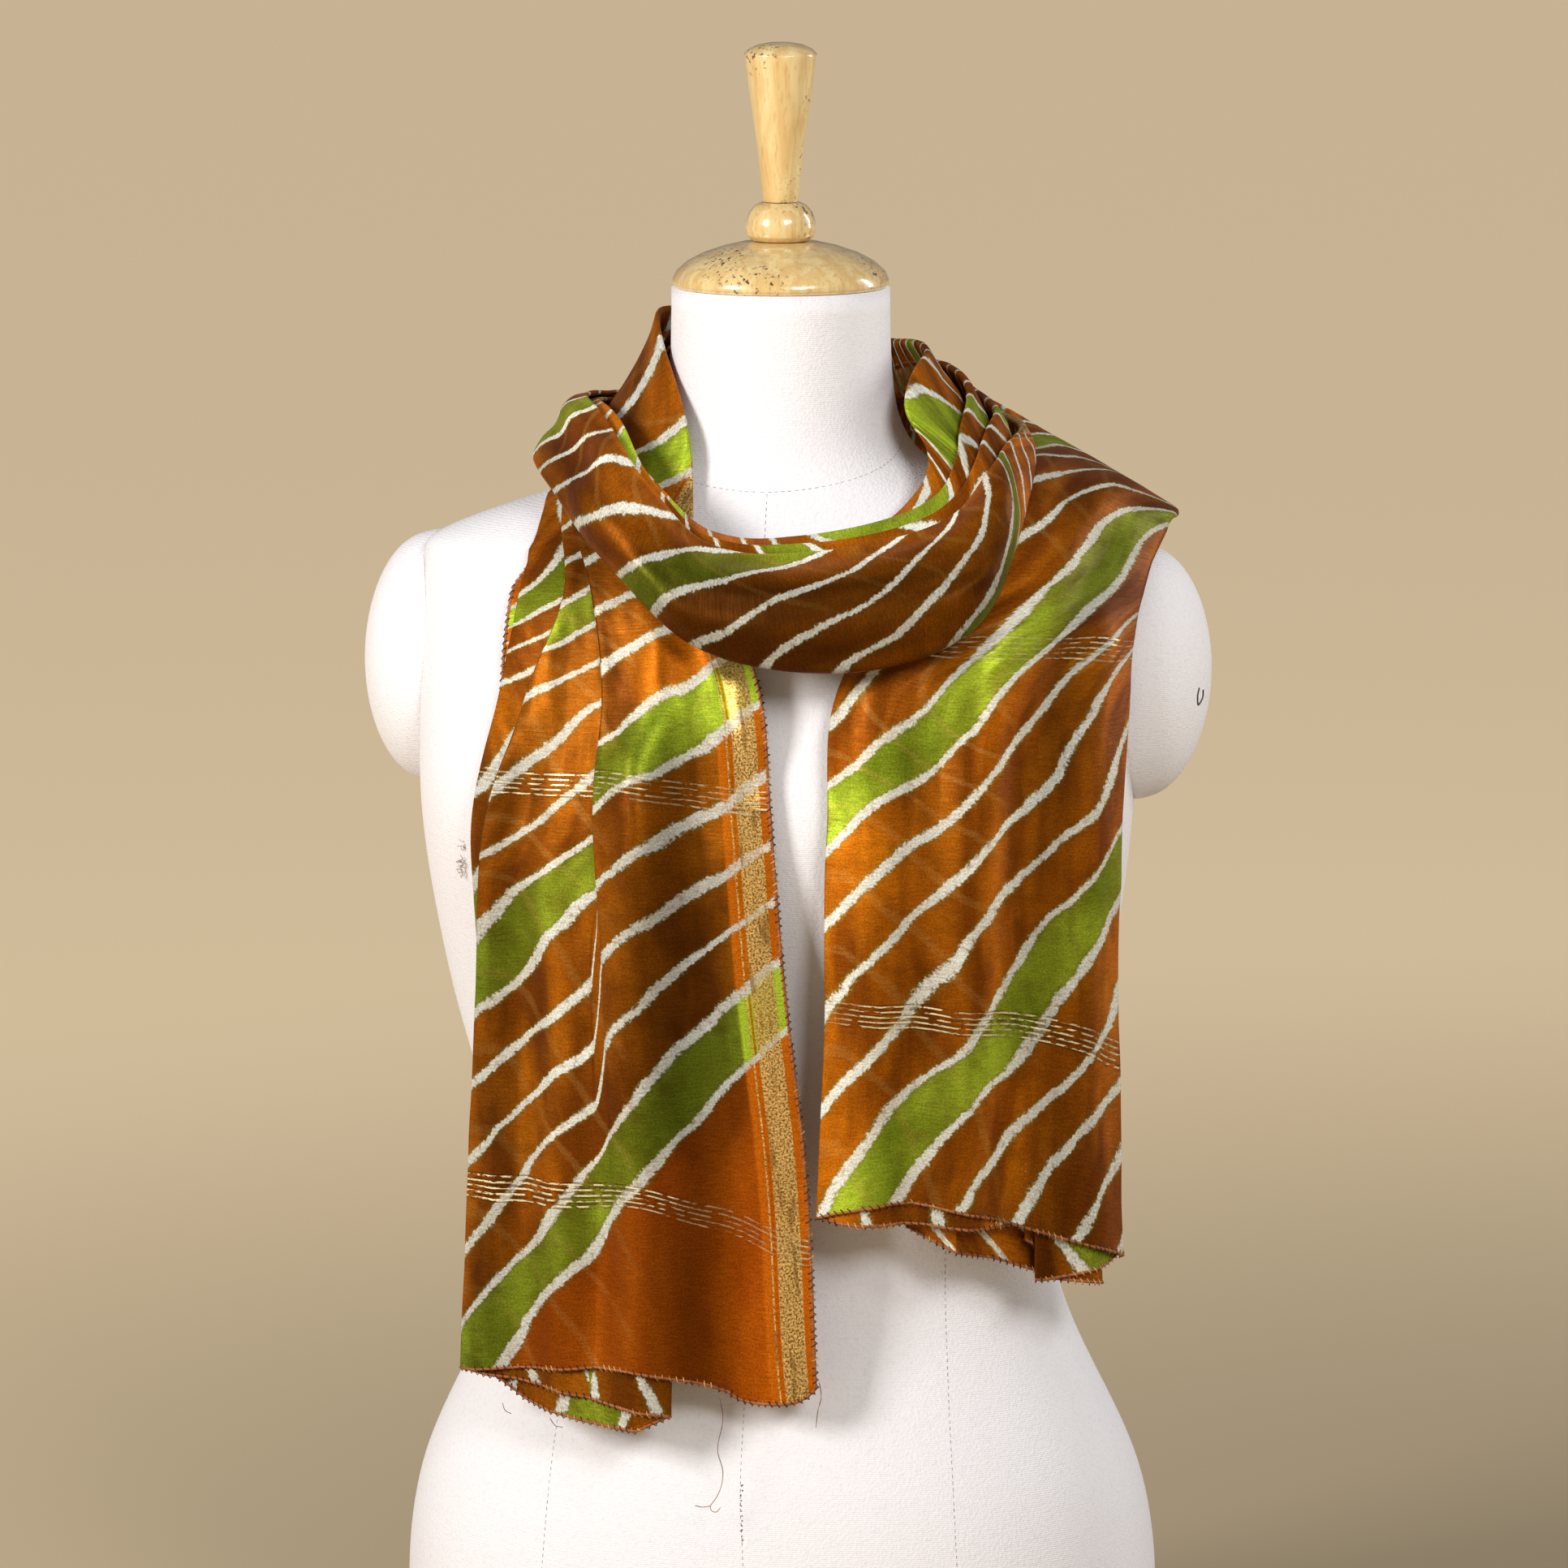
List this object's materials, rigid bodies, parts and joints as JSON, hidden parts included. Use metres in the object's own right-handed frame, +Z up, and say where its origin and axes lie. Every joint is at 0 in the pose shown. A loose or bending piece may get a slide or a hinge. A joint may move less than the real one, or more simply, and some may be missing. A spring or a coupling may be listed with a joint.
{
  "type": "stole on dress form",
  "caption": "Long striped wave-dyed stole draped over a padded dress form: one gathered panel down each side, a low loop across the chest, turned wooden neck knob on top.",
  "frame": {"origin": "middle of the dress form's flat bottom", "axes": "+Z up through the neck and the wooden knob; the form faces -Y and its left arm cap is at +X"},
  "size_m": [0.4286, 0.2744, 0.839],
  "materials": {
    "form_cloth": "matt woven cover, off-white",
    "wood": "clear varnished light wood",
    "dyed_silk": "soft satin, brown with lime green bands, white wavy lines and gold bands"
  },
  "bodies": {
    "root": {"form_torso": "form_cloth", "arm_cap_left": "form_cloth", "arm_cap_right": "form_cloth", "neck_cap": "wood", "finial_bead": "wood", "finial_handle": "wood", "stole": "dyed_silk"}
  },
  "joints": []
}
